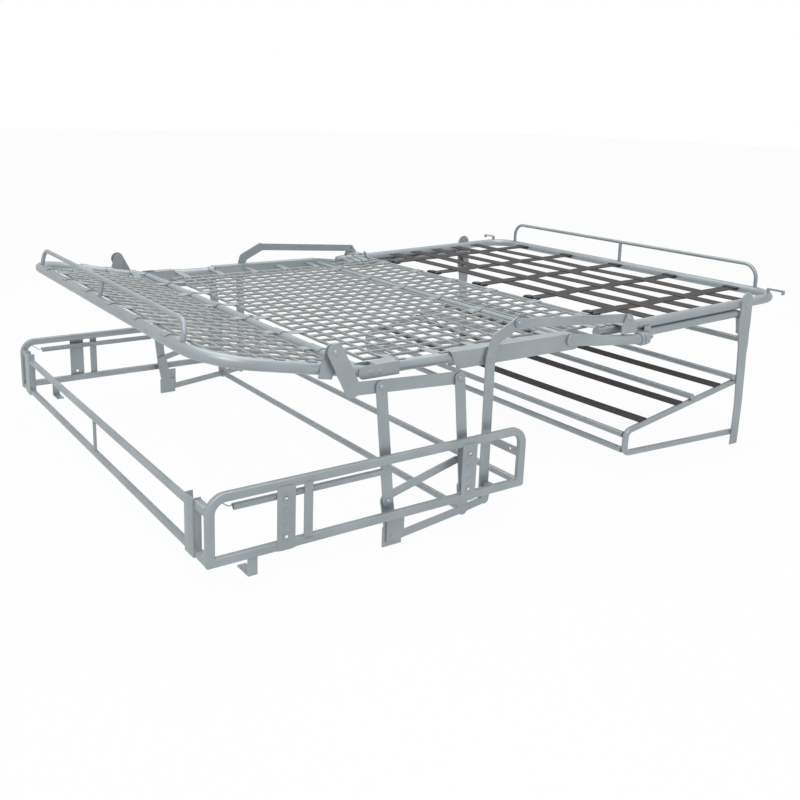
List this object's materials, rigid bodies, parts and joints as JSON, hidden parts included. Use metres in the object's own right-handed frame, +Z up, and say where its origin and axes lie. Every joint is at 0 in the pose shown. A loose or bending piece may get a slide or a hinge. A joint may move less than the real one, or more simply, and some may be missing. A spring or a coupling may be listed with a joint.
{
  "type": "sofa bed mechanism",
  "caption": "Steel sofa bed folding frame: base side frames, swing arms, hinged head, middle and foot sections with wire mesh and webbing, and front legs.",
  "frame": {"origin": "on the floor, under the middle of the opened bed", "axes": "+X from the head end to the foot end, +Y from the near side to the far side, +Z up"},
  "size_m": [2.0196, 1.443, 0.5648],
  "materials": {
    "silver_paint": "satin",
    "mesh_wire": "satin",
    "webbing": "matte",
    "spring_steel": "satin"
  },
  "bodies": {
    "base": {"near_side_frame": "silver_paint", "far_side_frame": "silver_paint", "near_mounting_plates": "silver_paint", "far_mounting_plates": "silver_paint", "rear_posts": "silver_paint", "rear_cross_tubes": "silver_paint", "rear_feet": "silver_paint", "front_cross_bar": "silver_paint", "front_tabs": "silver_paint", "pivot_plates": "silver_paint", "low_cross_tube": "silver_paint", "tie_springs": "spring_steel"},
    "front_arms": {"front_arms": "silver_paint"},
    "front_links": {"front_links": "silver_paint"},
    "rear_arms": {"rear_arms": "silver_paint"},
    "centre_arms": {"centre_arms": "silver_paint"},
    "carriers": {"carriers": "silver_paint"},
    "middle_section": {"near_middle_rail": "silver_paint", "far_middle_rail": "silver_paint", "near_side_channel": "silver_paint", "far_side_channel": "silver_paint", "hinge_cross_tube": "silver_paint", "middle_cross_tube": "silver_paint", "middle_mesh": "mesh_wire"},
    "head_section": {"head_frame": "silver_paint", "head_mesh": "mesh_wire", "head_mattress_bar": "silver_paint", "head_brackets": "silver_paint"},
    "foot_section": {"foot_frame": "silver_paint", "foot_cross_tube": "silver_paint", "foot_mesh": "mesh_wire", "foot_webbing": "webbing", "foot_mattress_bar": "silver_paint", "corner_hooks": "silver_paint", "link_brackets": "silver_paint", "leg_struts": "silver_paint", "leg_plates": "silver_paint", "leg_cross_tube": "silver_paint", "near_seat_side": "silver_paint", "far_seat_side": "silver_paint", "seat_cross_tubes": "silver_paint", "seat_webbing": "webbing"}
  },
  "joints": [
    {"name": "front_arm_swing", "type": "hinge", "parent": "base", "child": "front_arms", "pos_m": [-0.23178, 0, 0.053], "axis": [0, -1, 0], "range_deg": [0, 72]},
    {"name": "middle_pivot", "type": "hinge", "parent": "front_arms", "child": "middle_section", "pos_m": [-0.23578, 0, 0.42], "axis": [0, 1, 0], "range_deg": [0, 72]},
    {"name": "foot_fold", "type": "hinge", "parent": "middle_section", "child": "foot_section", "pos_m": [0.04722, 0, 0.43], "axis": [0, -1, 0], "range_deg": [0, 63]},
    {"name": "head_fold", "type": "hinge", "parent": "middle_section", "child": "head_section", "pos_m": [-0.59978, 0, 0.43], "axis": [0, 1, 0], "range_deg": [0, 62]},
    {"name": "front_link_pivot", "type": "hinge", "parent": "front_arms", "child": "front_links", "pos_m": [-0.15278, 0, 0.499], "axis": [0, 1, 0], "range_deg": [0, 53.2]},
    {"name": "rear_arm_swing", "type": "hinge", "parent": "base", "child": "rear_arms", "pos_m": [-0.53678, 0, 0.118], "axis": [0, -1, 0], "range_deg": [0, 72]},
    {"name": "centre_arm_swing", "type": "hinge", "parent": "base", "child": "centre_arms", "pos_m": [-0.30878, 0, 0.106], "axis": [0, -1, 0], "range_deg": [0, 72]},
    {"name": "carrier_pivot", "type": "hinge", "parent": "rear_arms", "child": "carriers", "pos_m": [-0.56678, 0, 0.399], "axis": [0, 1, 0], "range_deg": [0, 72]}
  ],
  "couplings": [
    {"joint": "front_arm_swing", "follows": "foot_fold", "ratio": 1.1429},
    {"joint": "middle_pivot", "follows": "foot_fold", "ratio": 1.1429},
    {"joint": "head_fold", "follows": "foot_fold", "ratio": 0.98413},
    {"joint": "front_link_pivot", "follows": "foot_fold", "ratio": 0.84444},
    {"joint": "rear_arm_swing", "follows": "foot_fold", "ratio": 1.1429},
    {"joint": "centre_arm_swing", "follows": "foot_fold", "ratio": 1.1429},
    {"joint": "carrier_pivot", "follows": "foot_fold", "ratio": 1.1429}
  ]
}
